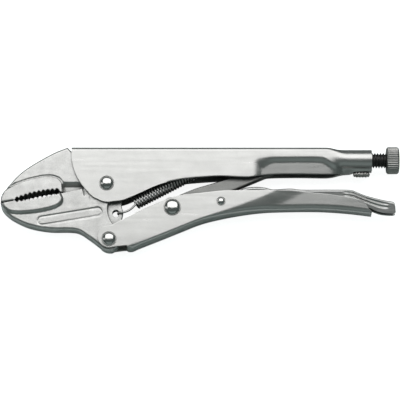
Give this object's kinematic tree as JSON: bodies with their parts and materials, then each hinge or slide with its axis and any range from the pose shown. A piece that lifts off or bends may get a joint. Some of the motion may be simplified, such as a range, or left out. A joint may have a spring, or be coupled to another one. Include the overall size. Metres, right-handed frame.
{
  "type": "locking pliers",
  "caption": "Locking pliers with curved toothed jaws, wire cutter, over-centre toggle link, release lever and knurled adjusting screw.",
  "frame": {"origin": "on the jaw pivot's axis, at the flat crown of the rivet that the tool lies on", "axes": "+X along the tool from the jaws to the adjusting screw, +Y from the lever handle towards the fixed handle, +Z along the rivets, up from the surface it lies on"},
  "size_m": [0.2495, 0.0676, 0.0194],
  "materials": {
    "handle_steel": "satin nickel plate on pressed sheet steel",
    "weld_steel": "plated weld bead",
    "jaw_steel": "satin nickel plate on forged steel",
    "rivet_steel": "bright",
    "link_steel": "satin nickel plate",
    "release_steel": "satin nickel plate on pressed sheet steel",
    "spring_steel": "oiled spring wire",
    "screw_steel": "dark zinc plated thread",
    "knob_steel": "straight knurl, satin"
  },
  "bodies": {
    "root": {"fixed_handle": "handle_steel", "seam_weld": "weld_steel", "fixed_jaw": "jaw_steel", "jaw_rivet": "rivet_steel", "return_spring": "spring_steel"},
    "jaw": {"moving_jaw": "jaw_steel"},
    "lever": {"lever_handle": "handle_steel", "lever_rivet": "rivet_steel", "link_rivet": "rivet_steel", "release_rivet": "rivet_steel"},
    "link": {"toggle_link": "link_steel"},
    "release": {"release_lever": "release_steel"},
    "screw_slider": {"stop_ring": "screw_steel"},
    "screw": {"adjusting_screw": "screw_steel", "screw_knob": "knob_steel"}
  },
  "joints": [
    {"name": "jaw_pivot", "type": "hinge", "parent": "root", "child": "jaw", "pos_m": [0, 0, 0.0097], "axis": [0, 0, 1], "range_deg": [0, 24], "deforming": ["return_spring"]},
    {"name": "lever_pivot", "type": "hinge", "parent": "jaw", "child": "lever", "pos_m": [0.0017, -0.0359, 0.0097], "axis": [0, 0, 1], "range_deg": [-67.2, 0]},
    {"name": "link_pivot", "type": "hinge", "parent": "lever", "child": "link", "pos_m": [0.041, -0.0156, 0.0097], "axis": [0, 0, 1], "range_deg": [0, 68.2]},
    {"name": "release_pivot", "type": "hinge", "parent": "lever", "child": "release", "pos_m": [0.0714, -0.0117, 0.0097], "axis": [0, 0, 1], "range_deg": [0, 4]},
    {"name": "screw_travel", "type": "slide", "parent": "root", "child": "screw_slider", "axis": [1, 0, 0], "range_m": [0, 0.02]},
    {"name": "screw_turn", "type": "hinge", "parent": "screw_slider", "child": "screw", "pos_m": [0.12, 0.0166, 0.0097], "axis": [1, 0, 0], "range_deg": [0, 4115]}
  ],
  "couplings": [
    {"joint": "lever_pivot", "follows": "jaw_pivot", "ratio": -2.7917},
    {"joint": "link_pivot", "follows": "jaw_pivot", "ratio": 2.8333},
    {"joint": "screw_turn", "follows": "screw_travel", "rad_per_m": 3590.4}
  ]
}
